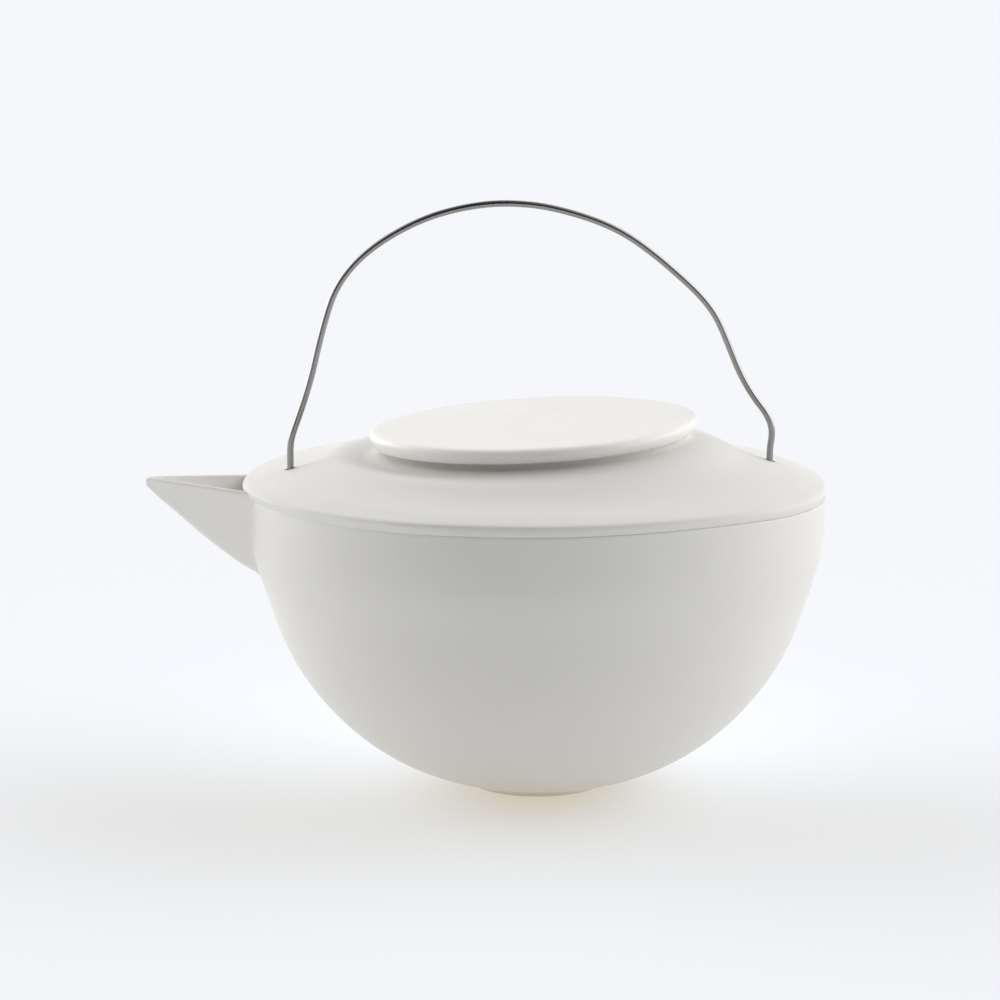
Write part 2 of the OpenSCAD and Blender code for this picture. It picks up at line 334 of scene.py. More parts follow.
# the faint ridge a two-part mould leaves, along X on both sides between the neck and the holes
r = np.hypot(v[:, 0], v[:, 1])
up = (v[:, 2] > 100.9 - (r - 65) * 0.30) & (r > 48) & (v[:, 2] > 94)
ridge = np.exp(-(v[:, 1] / 0.9) ** 2) * np.clip((r - 47) / 6, 0, 1) * np.clip((86 - r) / 8, 0, 1)
v[:, 2] += np.where(up, 0.16 * ridge, 0)
# the lip overhangs the wall most on the spout side, and is nearly flush with it in front
v = warp(v, 0.7)
r = np.hypot(v[:, 0], v[:, 1])
off = (np.degrees(np.arctan2(v[:, 1], v[:, 0])) - 205 + 180) % 360 - 180
hang = 0.65 * np.exp(-(off / 32.0) ** 2) * np.clip((r - 84) / 3, 0, 1)
flat_ = (np.degrees(np.arctan2(v[:, 1], v[:, 0])) - 268 + 180) % 360 - 180
hang = hang - 0.55 * np.exp(-(flat_ / 26.0) ** 4) * np.clip((r - 84) / 3, 0, 1)
hang = hang * np.exp(-((v[:, 2] - 90.4 - edge_rise(np.arctan2(v[:, 1], v[:, 0])) - 2.7) / 1.3) ** 2)
v[:, 0] *= 1 + hang / r
v[:, 1] *= 1 + hang / r
shoulder = make("porcelain_shoulder", v, f)
cut(shoulder, [peg("peg", (-75, 0, 90), (-75, 0, 104), 1.75), peg("peg", (71, 0, 90), (71, 0, 104), 1.75)])
mark_sharp(shoulder, 38)


# ------------------------------------------------------------------ spout
def beak_x(s):
    return -(118.0 - 33.0 * s)


KEEL = np.array([[-118.2, 95.0], [-118.1, 94.2], [-117.8, 93.0], [-114.2, 89.3], [-110.6, 86.2], [-107, 83.1],
                 [-103.6, 80.0], [-99.8, 76.8], [-95.7, 73.5], [-91.6, 70.4], [-87.3, 67.6], [-84, 65.8], [-80, 63.6]])


def keel_z(x):
    return float(np.interp(x, KEEL[:, 0], KEEL[:, 1]))


def beak_half(s):
    return 1.2 + 16.8 * max(s, 0) ** 0.85


def beak_top(s):
    return 96.5 - 2.5 * s


def vee(w, top, keel, rho, n_leg=16, n_arc=8):
    """A V whose rounded keel reaches down to the level keel, from the left rim to the right rim,
    as [y, z]."""
    h = max(top - keel, 0.02)
    for _ in range(3):
        a = math.atan2(w, h)
        fit = min(rho, 0.45 * math.hypot(w, h) * math.tan(a))
        h = max(top - keel, 0.02) + fit * (1 / math.sin(a) - 1)
    keel = top - h
    a = math.atan2(w, h)                         # half angle at the keel
    leg = math.hypot(w, h)
    rho = min(rho, 0.45 * leg * math.tan(a))
    cut_len = rho / math.tan(a)                  # from the corner to the tangent point
    cz = keel + rho / math.sin(a)
    left = [(-w * (1 - i / n_leg) - cut_len * math.sin(a) * (i / n_leg),
             top + (keel + cut_len * math.cos(a) - top) * (i / n_leg)) for i in range(n_leg)]
    bottom = []
    for i in range(n_arc + 1):
        b = math.radians(-90) + (i / n_arc - 0.5) * 2 * (math.pi / 2 - a)
        bottom.append((rho * math.cos(b), cz + rho * math.sin(b)))
    right = [(-y, z) for y, z in reversed(left)]
    return left + bottom + right


def rim(p, q, lift, n=6):
    """A rounded edge from p over to q, standing lift above them."""
    out = []
    for i in range(1, n):
        a = math.pi * i / n
        m = (1 - math.cos(a)) / 2
        out.append((p[0] + (q[0] - p[0]) * m, p[1] + (q[1] - p[1]) * m + lift * math.sin(a)))
    return out


def beak_loop(x, shrink=1.0, centre_z=94.9):
    s = (118.0 + x) / 33.0
    w, top, keel = beak_half(s), beak_top(s), keel_z(x)
    th = 1.25 + 0.35 * min(max(s, 0), 1)
    a = math.atan2(w, top - keel)
    lift = 0.42 * th
    body = top - lift
    wo = w - lift * math.tan(a)
    outer = vee(wo, body, keel, 2.4)
    fade = min(max((s - 0.012) / 0.05, 0.0), 1.0)
    wi = max(0.10, (wo - th / math.cos(a)) * fade)
    ki = keel + th / math.sin(a) * 0.98
    ki = min(body - 0.03, ki * fade + (body - 0.03) * (1 - fade))
    inner = vee(wi, body, ki, 1.3)
    pts = outer + rim(outer[-1], inner[-1], lift) + list(reversed(inner)) + rim(inner[0], outer[0], lift)
    return [(x, y * shrink, centre_z + (z - centre_z) * shrink) for y, z in pts]


xs = [-79.5, -81.5, -83.2, -84.6, -85.6, -86.4, -87.1, -87.7, -88.2, -88.8, -89.5, -90.4, -91.5]
xs += list(np.arange(-93, -114.1, -1.5)) + [-115.0, -115.6, -116.1, -116.5, -116.8]
loops = [beak_loop(x) for x in xs]
for i in range(1, 8):                          # the blunt, rounded nose
    u = i / 7.0
    x_nose = -116.8 - 2.0 * math.sin(u * math.pi / 2)
    k = (0.87, 0.75, 0.64, 0.54, 0.43, 0.29, 0.03)[i - 1]
    loops.append([(x_nose, p[1], p[2]) for p in beak_loop(-116.8, k, 95.6)])
v, f = loops_to_mesh(loops)
v = np.array(v)
# the root is bent on to the bowl and buried 1.2 mm in its wall, with a small luted fillet
m = len(loops[0])
zz = np.clip(v[:, 2], 1, 86.9)
rb = np.array([float(bowl_radius(z)) for z in zz]) - 1.2
rr = np.hypot(v[:, 0], v[:, 1])
inside = rr < rb
xr = -np.sqrt(np.maximum(rb ** 2 - v[:, 1] ** 2, 1))
v[inside, 0] = xr[inside]
dist = np.hypot(v[:, 0], v[:, 1]) - (rb + 1.2)
flare = np.clip((1.7 - dist) / 1.7, 0, 1) ** 2 * 0.65
side = np.array([1.0 if (i % m) < 41 else -0.7 for i in range(len(v))])
sec_a = math.atan2(18, 27)
low = np.clip((93.0 - v[:, 2]) / 3.0, 0, 1)
v[:, 1] += np.sign(v[:, 1]) * flare * side * math.cos(sec_a) * low
v[:, 2] -= flare * side * math.sin(sec_a) * low * (np.abs(v[:, 1]) < 9)
wob = 0.10 * np.sin(v[:, 0] * 0.21 + 1.0) + 0.06 * np.sin(v[:, 0] * 0.47 + v[:, 2] * 0.3)
v[:, 1] += wob * np.sign(v[:, 1]) * np.clip((-v[:, 0] - 90) / 10, 0, 1) * np.clip((116 + v[:, 0]) / 10, 0, 1)
spout = make("porcelain_spout", v, f, sharp_deg=55)


# ------------------------------------------------------------------ bail
BAIL = np.array([
    [-75, 98], [-75, 105], [-74.3, 109], [-72, 115.5], [-70, 121.5], [-68, 128.5],
    [-66, 137], [-63.5, 146], [-61.3, 152], [-58, 157.4], [-53, 162.8],
    [-46, 168], [-37, 172.8], [-28, 176], [-18, 178], [-9, 178.5], [1, 177.6],
    [11, 175.2], [21, 171.6], [29, 167.2], [37, 161.2], [45, 154.2], [50, 149.2],
    [54, 143.8], [57, 137.4], [60, 130], [62.5, 124.6], [66, 118.8],
    [69.6, 114], [71.4, 110], [71.6, 106.5], [71, 103], [71, 96]], float)


def bail_curve():
    out = []
    for i in range(1, len(BAIL) - 2):
        a, b = BAIL[i], BAIL[i + 1]
        ta, tb = (BAIL[i + 1] - BAIL[i - 1]) / 2, (BAIL[i + 2] - BAIL[i]) / 2
        for j in range(8):
            u = j / 8
            out.append((2 * u ** 3 - 3 * u ** 2 + 1) * a + (u ** 3 - 2 * u ** 2 + u) * ta
                       + (3 * u ** 2 - 2 * u ** 3) * b + (u ** 3 - u ** 2) * tb)
    out.append(BAIL[-2])
    left = [[-68, 93.4], [-69.5, 93.4], [-71, 93.4], [-72.6, 93.4]] + \
        arc(-73, 95.4, 2.0, -90, -180, 8) + [[-75, 97], [-75, 99], [-75, 101], [-75, 103]]
    right = [[71, 101.5], [71, 99.5], [71, 97.5]] + arc(69, 95.4, 2.0, 0, -90, 8) + \
        [[68.6, 93.4], [67, 93.4], [65.5, 93.4], [64, 93.4]]
    return np.array(left + [list(p) for p in out] + right)


def tube(path, radius, sides, normal=None, caps=True, taper=0.0):
    """Sweep a circle along a path of 3-D points, with rounded ends."""
    p = np.asarray(path, float)
    t = np.gradient(p, axis=0)
    t /= np.linalg.norm(t, axis=1)[:, None]
    ref = np.array(normal if normal is not None else (0, 1, 0), float)
    loops = []
    ends = [(0, -1, 0.25), (0, -1, 0.08)] if caps else []
    def ring(c, d, rad):
        u = ref - np.dot(ref, d) * d
        u /= np.linalg.norm(u)
        w = np.cross(d, u)
        return [tuple(c + rad * (math.cos(2 * math.pi * k / sides) * u + math.sin(2 * math.pi * k / sides) * w))
                for k in range(sides)]
    if caps:
        loops.append(ring(p[0] - t[0] * radius * 0.30, t[0], radius * 0.45))
        loops.append(ring(p[0] - t[0] * radius * 0.22, t[0], radius * 0.80))
    for i in range(len(p)):
        loops.append(ring(p[i], t[i], radius))
    if caps:
        loops.append(ring(p[-1] + t[-1] * radius * 0.22, t[-1], radius * 0.80))
        loops.append(ring(p[-1] + t[-1] * radius * 0.30, t[-1], radius * 0.45))
    return loops_to_mesh(loops)


bc = resample(bail_curve(), 1.3)
for _ in range(2):
    q = bc.copy()
    q[1:-1] = 0.25 * bc[:-2] + 0.5 * bc[1:-1] + 0.25 * bc[2:]
    bc = q
free = np.clip((bc[:, 1] - 108) / 20, 0, 1)
side_y = free * (0.35 * np.sin(bc[:, 0] * 0.045 + 0.8) + 0.15 * np.sin(bc[:, 0] * 0.13))
v, f = tube(np.stack([bc[:, 0], side_y, bc[:, 1]], 1), 1.0, 20)
bail = make("wire_bail", v, f)


# ------------------------------------------------------------------ lid
def slope(p):
    """From the disc's own frame into place."""
    p = np.asarray(p, float)
    x = p[:, 0] * math.cos(SLOPE) - p[:, 2] * math.sin(SLOPE)
    z = p[:, 0] * math.sin(SLOPE) + p[:, 2] * math.cos(SLOPE)
    return np.stack([x - LID_SHIFT, p[:, 1], z + LID_Z], 1)


def lid_profile():
    e = LID_T / 2
    line = smooth_line([
        [0, e + 0.45], [10, e + 0.44], [20, e + 0.38], [30, e + 0.26], [38, e + 0.13], [44, e + 0.02],
        [46.6, e - 0.06], [48.0, e - 0.2], [49.1, e - 0.48], [49.75, e - 0.9], [50.02, e - 1.4],
        [50.0, e - 2.0], [49.75, e - 2.8], [49.35, e - 3.6], [48.85, e - 4.4], [48.2, e - 4.88], [47.4, e - 4.8],
        [46.7, e - 4.5], [46.0, -e - 0.04], [45.5, -e]], 0.25, 8)
    keep = [line[0]]
    for p in line[1:]:
        if np.linalg.norm(p - keep[-1]) >= (0.4 if p[0] > 44 else 1.6):
            keep.append(p)
    return [list(p) for p in keep] + [[r, -e] for r in (44.5, 42, 38, 34, 30, 25, 20, 15, 10, 5, 0)]


v, f = revolve(lid_profile(), 192)
r = np.hypot(v[:, 0], v[:, 1])
a = np.arctan2(v[:, 1], v[:, 0])
k = np.clip((r - 25) / 25.0, 0, 1) ** 1.5 * np.clip((v[:, 2] + LID_T / 2) / 1.5, 0, 1)
v[:, 2] += k * (0.22 * np.sin(2 * a + 0.5) + 0.12 * np.sin(3 * a + 2.6) + 0.05 * np.sin(7 * a))
grow = 1 + k * (0.18 * np.sin(2 * a + 4.0) + 0.10 * np.sin(5 * a + 1.0)) / np.maximum(r, 1)
v[:, 0] *= grow
v[:, 1] *= grow
lid = make("glazed_lid", slope(v), f, sharp_deg=50)

e = LID_T / 2
v, f = revolve([[33.3, -e - 6.5], [33.5, -e - 6.4], [33.6, -e - 6.1], [33.6, -e - 4], [33.6, -e - 1.2], [33.7, -e - 0.6],
                [33.95, -e - 0.2], [34.3, -e + 0.02], [30.5, -e + 0.02], [30.85, -e - 0.2], [31.1, -e - 0.6],
                [31.2, -e - 1.2], [31.2, -e - 4], [31.2, -e - 6.1], [31.3, -e - 6.4], [31.5, -e - 6.5], [32.4, -e - 6.55]], 160)
v[:, 0] += LID_SHIFT
flange = make("glazed_lid_flange", slope(v), f, sharp_deg=60)


# ------------------------------------------------------------------ infuser
COLLAR = [[36.55, 92.3], [36.75, 92.0], [37.1, 92.0], [37.3, 92.3], [37.3, 95], [37.3, 99], [37.3, 103.4],
          [37.45, 103.85], [37.9, 104.0], [39.4, 104.0], [40.4, 104.0], [40.7, 104.12], [40.8, 104.4],
          [40.7, 104.7], [40.4, 104.82], [39.4, 104.82], [37.7, 104.82], [36.95, 104.6], [36.6, 104.1],
          [36.5, 103.2], [36.5, 99], [36.5, 95]]
v, f = revolve(COLLAR, 160)
collar = make("pressed_collar", v, f, sharp_deg=60)

HEM = [[33.5, 56.55], [33.7, 56.4], [35.0, 56.4], [36.6, 56.4], [36.95, 56.55], [37.1, 56.9], [37.1, 58.5],
       [37.15, 59.6], [37.1, 60.7], [36.95, 61.0], [36.65, 61.0], [36.5, 60.7], [36.5, 59], [36.5, 57.15],
       [36.3, 57.0], [35, 57.0], [33.7, 57.0], [33.5, 56.85]]
v, f = revolve(HEM, 160)
hem = make("rolled_hem_ring", v, f, sharp_deg=60)

WIRE, PITCH = 0.13, 1.8


def weave_wall():
    """Plain weave of round wires bent into a cylinder, as separate closed wires."""
    r0, z0, z1 = 36.2, 57.15, 103.7
    cols = int(round(2 * math.pi * r0 / PITCH / 2)) * 2
    rows_ = int((z1 - z0) / PITCH)
    verts, faces = [], []

    def add(loops, closed):
        base = len(verts)
        m_ = len(loops[0])
        for l in loops:
            verts.extend(l)
        n_ = len(loops)
        for i in range(n_ if closed else n_ - 1):
            a_, b_ = base + i * m_, base + ((i + 1) % n_) * m_
            for k in range(m_):
                faces.append((a_ + k, a_ + (k + 1) % m_, b_ + (k + 1) % m_, b_ + k))
        if not closed:
            faces.append(tuple(base + k for k in range(m_)))
            faces.append(tuple(base + (n_ - 1) * m_ + k for k in reversed(range(m_))))

    sq = [(math.cos(math.radians(45 + 90 * k)), math.sin(math.radians(45 + 90 * k))) for k in range(4)]
    for c_ in range(cols):
        a = 2 * math.pi * c_ / cols
        er, et = (math.cos(a), math.sin(a)), (-math.sin(a), math.cos(a))
        loops_ = []
        for j in range(2 * rows_ + 1):
            z = z0 + (z1 - z0) * j / (2 * rows_)
            rr_ = r0 + 0.11 * math.cos(math.pi * (j / 2 + c_)) * (1 if j % 2 == 0 else 0)
            loops_.append([(er[0] * (rr_ + WIRE * p) + et[0] * WIRE * q_, er[1] * (rr_ + WIRE * p) + et[1] * WIRE * q_, z)
                           for p, q_ in sq])
        add(loops_, False)
    for j in range(rows_ + 1):
        z = z0 + (z1 - z0) * j / rows_
        z = min(max(z, z0 + WIRE), z1 - WIRE)
        loops_ = []
        for c_ in range(2 * cols):
            a = math.pi * c_ / cols
            rr_ = r0 - 0.11 * math.cos(math.pi * (c_ / 2 + j)) * (1 if c_ % 2 == 0 else 0)
            loops_.append([(math.cos(a) * (rr_ + WIRE * p), math.sin(a) * (rr_ + WIRE * p), z + WIRE * q_) for p, q_ in sq])
        add(loops_, True)
    return verts, faces


def weave_floor():
    r0, z0 = 35.75, 57.2
    verts, faces = [], []
    n = int(r0 / PITCH)
    sq = [(math.cos(math.radians(45 + 90 * k)), math.sin(math.radians(45 + 90 * k))) for k in range(4)]
    for axis in (0, 1):
        for i in range(-n, n + 1):
            o = i * PITCH
            half = math.sqrt(max(r0 * r0 - o * o, 0.5))
            stops = [j * PITCH / 2 for j in range(-int(2 * half / PITCH), int(2 * half / PITCH) + 1)]
            stops = [-half] + stops + [half]
            base = len(verts)
            for s_ in stops:
                j = s_ / (PITCH / 2)
                on = abs(j - round(j)) < 1e-6 and int(round(j)) % 2 == 0
                k_ = int(round(j)) // 2 if on else 0
                dz = (0.11 if (k_ + i + axis) % 2 == 0 else -0.11) if on else 0.0
                for p, q_ in sq:
                    if axis == 0:
                        verts.append((s_, o + WIRE * p, z0 + dz + WIRE * q_))
                    else:
                        verts.append((o + WIRE * p, s_, z0 + dz + WIRE * q_))
            m_ = 4
            for q in range(len(stops) - 1):
                a_, b_ = base + q * m_, base + (q + 1) * m_
                for k in range(m_):
                    faces.append((a_ + k, a_ + (k + 1) % m_, b_ + (k + 1) % m_, b_ + k))
            faces.append(tuple(base + k for k in range(m_)))
            faces.append(tuple(base + (len(stops) - 1) * m_ + k for k in reversed(range(m_))))
    return verts, faces


v, f = weave_wall()
wall = make("woven_wall", v, f)
v, f = weave_floor()
floor_mesh = make("woven_floor", v, f)


def bent_plate(name, a0, a1, section, steps, taper=0.0):
    """A section [r, z] swept part of the way round, its corners rounded off at both ends."""
    sec = np.array(section, float)
    cen = sec.mean(0)
    loops_ = []
    for i in range(steps + 1):
        u = i / steps
        k = 1.0
        if taper:
            d = min(u, 1 - u) / taper
            k = math.sqrt(max(0.0, 1 - (1 - min(d, 1)) ** 2)) * 0.35 + 0.65
        a = math.radians(a0 + (a1 - a0) * u)
        s_ = cen + (sec - cen) * [k, 1.0]
        loops_.append([(p[0] * math.cos(a), p[0] * math.sin(a), p[1]) for p in s_])
    vv, ff = loops_to_mesh(loops_)
    return vv, ff


v, f = bent_plate("seam", 86, 94, [[36.45, 61.5], [36.78, 61.4], [36.86, 61.6], [36.86, 76], [36.86, 91.2], [36.78, 91.5],
                                   [36.45, 91.4], [36.42, 76]], 14, 0.12)
seam = make("lap_seam_strip", v, f, sharp_deg=45)

TAB = [[36.85, 104.84], [38.5, 104.82], [40.0, 104.82], [40.35, 104.9], [40.4, 105.05], [40.3, 105.25], [40.0, 105.32],
       [38.3, 105.32], [37.75, 105.45], [37.55, 105.75], [37.5, 106.05], [37.35, 106.2], [37.1, 106.2], [36.9, 106.0],
       [36.82, 105.4]]
tv, tf = [], []
for a in (82, 262):
    vv, ff = bent_plate("tab", a, a + 16, TAB, 18, 0.16)
    off = len(tv)
    tv.extend(map(tuple, vv))
    tf.extend([tuple(i + off for i in q) for q in ff])
tabs = make("folded_lift_tabs", tv, tf, sharp_deg=45)


# ------------------------------------------------------------------ materials
def mat(name):
    m_ = bpy.data.materials.new(name)
    m_.use_nodes = True
    nt = m_.node_tree
    nt.nodes.clear()
    out = nt.nodes.new("ShaderNodeOutputMaterial")
    bs = nt.nodes.new("ShaderNodeBsdfPrincipled")
    nt.links.new(bs.outputs[0], out.inputs[0])
    co = nt.nodes.new("ShaderNodeTexCoord")
    return m_, nt, bs, co


def noise(nt, co, scale, detail=4, rough=0.55, stretch=None):
    n = nt.nodes.new("ShaderNodeTexNoise")
    n.inputs["Scale"].default_value = scale
    n.inputs["Detail"].default_value = detail
    n.inputs["Roughness"].default_value = rough
    if stretch:
        mp = nt.nodes.new("ShaderNodeMapping")
        mp.inputs["Scale"].default_value = stretch
        nt.links.new(co.outputs["Object"], mp.inputs["Vector"])
        nt.links.new(mp.outputs[0], n.inputs["Vector"])
    else:
        nt.links.new(co.outputs["Object"], n.inputs["Vector"])
    return n


def ramp(nt, src, stops):
    r_ = nt.nodes.new("ShaderNodeValToRGB")
    el = r_.color_ramp.elements
    while len(el) < len(stops):
        el.new(0.5)
    for e, (pos, col) in zip(el, stops):
        e.position = pos
        e.color = (*col, 1) if len(col) == 3 else col
    nt.links.new(src, r_.inputs[0])
    return r_


def to_range(nt, src, lo, hi):
    m_ = nt.nodes.new("ShaderNodeMapRange")
    m_.inputs["To Min"].default_value = lo
    m_.inputs["To Max"].default_value = hi
    nt.links.new(src, m_.inputs["Value"])
    return m_


def bump(nt, bs, layers):
    """Stack bump layers (source, distance in metres, strength)."""
    prev_ = None
    for src, dist_, strength in layers:
        b = nt.nodes.new("ShaderNodeBump")
        b.inputs["Distance"].default_value = dist_
        b.inputs["Strength"].default_value = strength
        nt.links.new(src, b.inputs["Height"])
        if prev_ is not None:
            nt.links.new(prev_.outputs[0], b.inputs["Normal"])
        prev_ = b
    nt.links.new(prev_.outputs[0], bs.inputs["Normal"])


# unglazed biscuit porcelain: warm white, silky, with a fine grain and the long soft unevenness
# that sponging leaves
BISCUIT = (0.755, 0.740, 0.707)


def biscuit(name, pale=1.0):
    m_, nt, bs, co = mat(name)
    big = noise(nt, co, 14, 3)
    mid = noise(nt, co, 60, 5)
    fine = noise(nt, co, 2600, 3, 0.6)
    mixn = nt.nodes.new("ShaderNodeMath")
    mixn.operation = "MULTIPLY_ADD"
    nt.links.new(big.outputs["Fac"], mixn.inputs[0])
    mixn.inputs[1].default_value = 0.6
    half = nt.nodes.new("ShaderNodeMath")
    half.operation = "MULTIPLY"
    half.inputs[1].default_value = 0.4
    nt.links.new(mid.outputs["Fac"], half.inputs[0])
    nt.links.new(half.outputs[0], mixn.inputs[2])
    # pale above 1 makes a lighter copy of the colour: painted light, used on the spout
    a, b, c_ = [w_ * pale for w_ in BISCUIT]
    col = ramp(nt, mixn.outputs[0], [(0.30, (a * 0.982, b * 0.981, c_ * 0.975)), (0.52, (a, b, c_)),
                                    (0.72, (min(a * 1.010, 1), min(b * 1.011, 1), min(c_ * 1.016, 1)))])
    nt.links.new(col.outputs[0], bs.inputs["Base Color"])
    ro = to_range(nt, mid.outputs["Fac"], 0.50, 0.64)
    nt.links.new(ro.outputs[0], bs.inputs["Roughness"])
    bs.inputs["Specular IOR Level"].default_value = 0.42
    bump(nt, bs, [(big.outputs["Fac"], 0.0006, 0.20), (mid.outputs["Fac"], 0.00012, 0.18), (fine.outputs["Fac"], 0.00002, 0.30)])
    return m_


# clear glaze over white porcelain: glossy, softly rippled, with a few pinholes
GLAZE = (0.885, 0.870, 0.838)


def glazed(name):
    m_, nt, bs, co = mat(name)
    big = noise(nt, co, 22, 3)
    mid = noise(nt, co, 110, 3)
    a, b, c_ = GLAZE
    col = ramp(nt, big.outputs["Fac"], [(0.30, (a * 0.985, b * 0.984, c_ * 0.980)), (0.55, (a, b, c_)),
                                       (0.75, (a * 1.008, b * 1.009, c_ * 1.012))])
    nt.links.new(col.outputs[0], bs.inputs["Base Color"])
    ro = to_range(nt, mid.outputs["Fac"], 0.20, 0.28)
    nt.links.new(ro.outputs[0], bs.inputs["Roughness"])
    bs.inputs["Specular IOR Level"].default_value = 0.32
    bs.inputs["Coat Weight"].default_value = 0.06
    bs.inputs["Coat Roughness"].default_value = 0.12
    vo = nt.nodes.new("ShaderNodeTexVoronoi")
    vo.inputs["Scale"].default_value = 190
    nt.links.new(co.outputs["Object"], vo.inputs["Vector"])
    pin = to_range(nt, vo.outputs["Distance"], 0, 1)
    pin.inputs["From Min"].default_value = 0.02
    pin.inputs["From Max"].default_value = 0.06
    bump(nt, bs, [(big.outputs["Fac"], 0.0010, 0.20), (mid.outputs["Fac"], 0.00015, 0.22), (pin.outputs[0], 0.00006, 0.25)])
    return m_


def steel(name, base, rough, stretch, fine_scale, tint=0.03, depth=0.00002):
    m_, nt, bs, co = mat(name)
    lines = noise(nt, co, fine_scale, 3, 0.6, stretch)
    big = noise(nt, co, 40, 3)
    lo = tuple(c_ * (1 - tint * 2) for c_ in base)
    hi = tuple(min(c_ * (1 + tint), 1) for c_ in base)
    col = ramp(nt, lines.outputs["Fac"], [(0.35, lo), (0.5, base), (0.68, hi)])
    nt.links.new(col.outputs[0], bs.inputs["Base Color"])
    bs.inputs["Metallic"].default_value = 1.0
    ro = to_range(nt, big.outputs["Fac"], rough - 0.05, rough + 0.06)
    nt.links.new(ro.outputs[0], bs.inputs["Roughness"])
    bump(nt, bs, [(lines.outputs["Fac"], depth, 0.5), (big.outputs["Fac"], 0.00004, 0.2)])
    return m_


m_bowl = biscuit("biscuit_porcelain_body")
m_spout_painted_light = biscuit("biscuit_porcelain_painted_light", 1.16)     # painted light: the spout's copy of the biscuit is 16 % paler, standing in for the light that comes through its thin wall
m_lid = glazed("glazed_porcelain_lid")
m_wire = steel("stainless_wire", (0.31, 0.306, 0.30), 0.20, (30, 1400, 30), 12)
m_sheet = steel("stainless_sheet_satin", (0.66, 0.655, 0.645), 0.26, (60, 60, 2200), 10)
m_mesh = steel("stainless_mesh_wire", (0.62, 0.615, 0.605), 0.24, (900, 900, 900), 8)

for ob, m_ in ((bowl, m_bowl), (shoulder, m_bowl), (spout, m_spout_painted_light), (lid, m_lid), (flange, m_lid), (bail, m_wire), (collar, m_sheet),
               (hem, m_sheet), (seam, m_sheet), (tabs, m_sheet), (wall, m_mesh), (floor_mesh, m_mesh)):
    ob.data.materials.clear()
    ob.data.materials.append(m_)

for ob, body, node, slot in (
        (bowl, "pot", ["pot_bowl_lower", "pot_bowl_upper"], "biscuit_porcelain"), (shoulder, "pot", ["pot_shoulder", "pot_neck"], "biscuit_porcelain"),
        (spout, "pot", ["pot_spout"], "biscuit_porcelain"), (bail, "bail", ["bail_handle"], "steel_wire"),
        (lid, "lid", ["lid"], "glazed_porcelain"), (flange, "lid", ["lid_flange"], "glazed_porcelain"), (collar, "infuser", ["infuser_collar"], "stainless_sheet"),
        (wall, "infuser", ["infuser_wall"], "stainless_mesh"), (seam, "infuser", ["infuser_seam_strip"], "stainless_sheet"),
        (hem, "infuser", ["infuser_hem_ring"], "stainless_sheet"), (floor_mesh, "infuser", ["infuser_floor"], "stainless_mesh"),
        (tabs, "infuser", ["infuser_lift_tabs"], "stainless_sheet")):
    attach(ob, body)
    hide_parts(*node)


# ------------------------------------------------------------------ stage
# soft studio light: a dome of broad lobes, as [direction, sharpness, strength]
def lobe(az, el, sharp, amount):
    a, b = math.radians(az), math.radians(el)
    return [(math.cos(a) * math.cos(b), math.sin(a) * math.cos(b), math.sin(b)), sharp, amount]


# broad soft boxes low behind the pot on both sides, nothing from the front
LOBES = [
    lobe(0, 28, 7, 2.25), lobe(45, 28, 7, 1.83), lobe(135, 28, 7, 0.75), lobe(180, 28, 7, 1.20),
    lobe(0, 6, 7, 1.07), lobe(45, 6, 7, 0.07), lobe(135, 6, 7, 3.88), lobe(60, 55, 7, 0.09), lobe(180, 55, 7, 0.14),
]
BASE_LEVEL = 0.0


def light_on_floor():
    """What the lobes throw on an open level floor, white being 1."""
    el = (np.arange(360) + 0.5) * (math.pi / 2) / 360
    az = (np.arange(720) + 0.5) * (2 * math.pi) / 720
    e_, a_ = np.meshgrid(el, az, indexing="ij")
    d = np.stack([np.cos(a_) * np.cos(e_), np.sin(a_) * np.cos(e_), np.sin(e_)], -1)
    light = np.full(e_.shape, BASE_LEVEL)
    for v_, sharp, amount in LOBES:
        n_ = np.array(v_) / np.linalg.norm(v_)
        light = light + amount * np.exp(sharp * (d @ n_ - 1))
    return float((light * np.sin(e_) * np.cos(e_)).sum() * (math.pi / 2 / 360) * (2 * math.pi / 720) / math.pi)


# a pale light table: it glows warm from below and takes the cool light of the boxes, so that a
# shadow on it is faint and warmer than the open floor, which comes out as GROUND
GROUND = (0.913, 0.930, 0.965)
GROUND_DIFFUSE = (0.47, 0.53, 0.66)
rings = [0.0] + list(np.geomspace(0.05, 9.0, 28))
gv, gf = [(0, 0, 0)], []
GS = 64
for r in rings[1:]:
    for k in range(GS):
        gv.append((r * 1000 * math.cos(2 * math.pi * k / GS), r * 1000 * math.sin(2 * math.pi * k / GS), 0))
for k in range(GS):
    gf.append((0, 1 + k, 1 + (k + 1) % GS))
for i in range(len(rings) - 2):
    for k in range(GS):
        a_, b_ = 1 + i * GS, 1 + (i + 1) * GS
        gf.append((a_ + k, b_ + k, b_ + (k + 1) % GS, a_ + (k + 1) % GS))
ground = make("ground", gv, gf)
ground.location.z = -0.00002
gm, gnt, gbs, gco = mat("pale_ground")
gbs.inputs["Base Color"].default_value = (*GROUND_DIFFUSE, 1)
open_floor = light_on_floor()
gbs.inputs["Emission Color"].default_value = (*[max(0.0, g_ - d_ * open_floor) for g_, d_ in zip(GROUND, GROUND_DIFFUSE)], 1)
gbs.inputs["Emission Strength"].default_value = 1.0
gbs.inputs["Roughness"].default_value = 1.0
gbs.inputs["Specular IOR Level"].default_value = 0.0
ground.data.materials.append(gm)

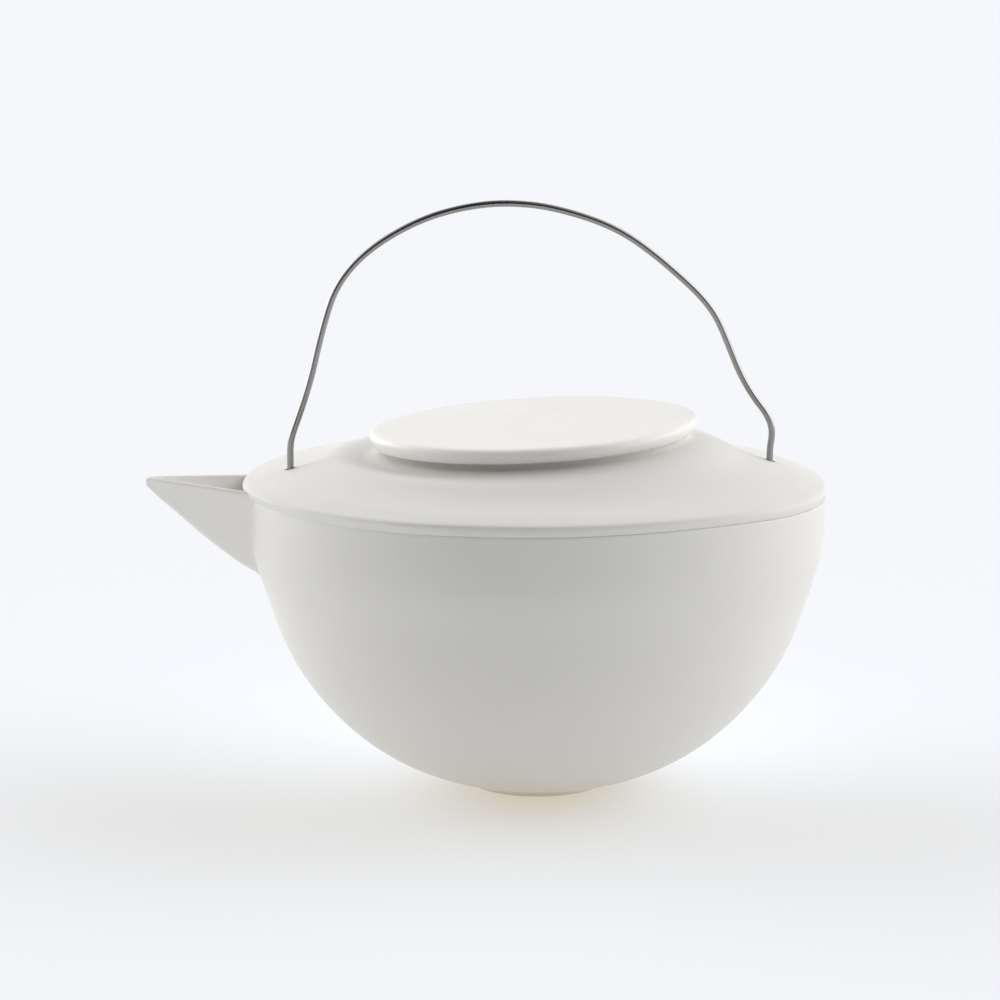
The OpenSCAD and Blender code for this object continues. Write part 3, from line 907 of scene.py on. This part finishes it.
world = bpy.data.worlds.new("studio")
bpy.context.scene.world = world
world.use_nodes = True
wn = world.node_tree
wn.nodes.clear()
wout = wn.nodes.new("ShaderNodeOutputWorld")
bg = wn.nodes.new("ShaderNodeBackground")
tc = wn.nodes.new("ShaderNodeTexCoord")
nrm = wn.nodes.new("ShaderNodeVectorMath")
nrm.operation = "NORMALIZE"
wn.links.new(tc.outputs["Generated"], nrm.inputs[0])
total = wn.nodes.new("ShaderNodeValue")
total.name = "base_level"
total.outputs[0].default_value = BASE_LEVEL
acc = total.outputs[0]
for i, (d, sharp, amount) in enumerate(LOBES):
    dv = Vector(d).normalized()
    dot = wn.nodes.new("ShaderNodeVectorMath")
    dot.operation = "DOT_PRODUCT"
    dot.inputs[1].default_value = dv
    wn.links.new(nrm.outputs[0], dot.inputs[0])
    ma = wn.nodes.new("ShaderNodeMath")
    ma.operation = "MULTIPLY_ADD"
    ma.inputs[1].default_value = sharp
    ma.inputs[2].default_value = -sharp
    wn.links.new(dot.outputs["Value"], ma.inputs[0])
    ex = wn.nodes.new("ShaderNodeMath")
    ex.operation = "EXPONENT"
    wn.links.new(ma.outputs[0], ex.inputs[0])
    add = wn.nodes.new("ShaderNodeMath")
    add.operation = "MULTIPLY_ADD"
    add.name = f"lobe_{i}"
    add.inputs[1].default_value = amount
    wn.links.new(ex.outputs[0], add.inputs[0])
    wn.links.new(acc, add.inputs[2])
    acc = add.outputs[0]
bg.inputs["Color"].default_value = (1, 1, 1, 1)
wn.links.new(acc, bg.inputs["Strength"])
back = wn.nodes.new("ShaderNodeBackground")
back.inputs["Color"].default_value = (*GROUND, 1)
lp_ = wn.nodes.new("ShaderNodeLightPath")
mx = wn.nodes.new("ShaderNodeMixShader")
wn.links.new(lp_.outputs["Is Camera Ray"], mx.inputs[0])
wn.links.new(bg.outputs[0], mx.inputs[1])
wn.links.new(back.outputs[0], mx.inputs[2])
wn.links.new(mx.outputs[0], wout.inputs[0])

sc = bpy.context.scene
sc.view_settings.view_transform = "Standard"
sc.view_settings.look = "None"

# ------------------------------------------------------------------ camera
K = 0.3043 * MM
DIST = 1.3
AZ, EL = math.radians(-4.0), math.radians(10.0)
AXIS_PX, LOOK_Z = 537.5, 0.0879
side = -(AXIS_PX - 500) * K
target = Vector((side * math.cos(AZ), side * math.sin(AZ), LOOK_Z))
eye = target + DIST * Vector((math.cos(EL) * math.sin(AZ), -math.cos(EL) * math.cos(AZ), math.sin(EL)))
cam = bpy.data.cameras.new("camera")
cam.lens = 36.0 * DIST / (K * 1000)
cam.sensor_width = 36.0
cam.clip_start, cam.clip_end = 0.05, 50
cam_ob = bpy.data.objects.new("camera", cam)
COLL.objects.link(cam_ob)
cam_ob.location = eye
cam_ob.rotation_euler = (target - eye).to_track_quat("-Z", "Y").to_euler()
sc.camera = cam_ob
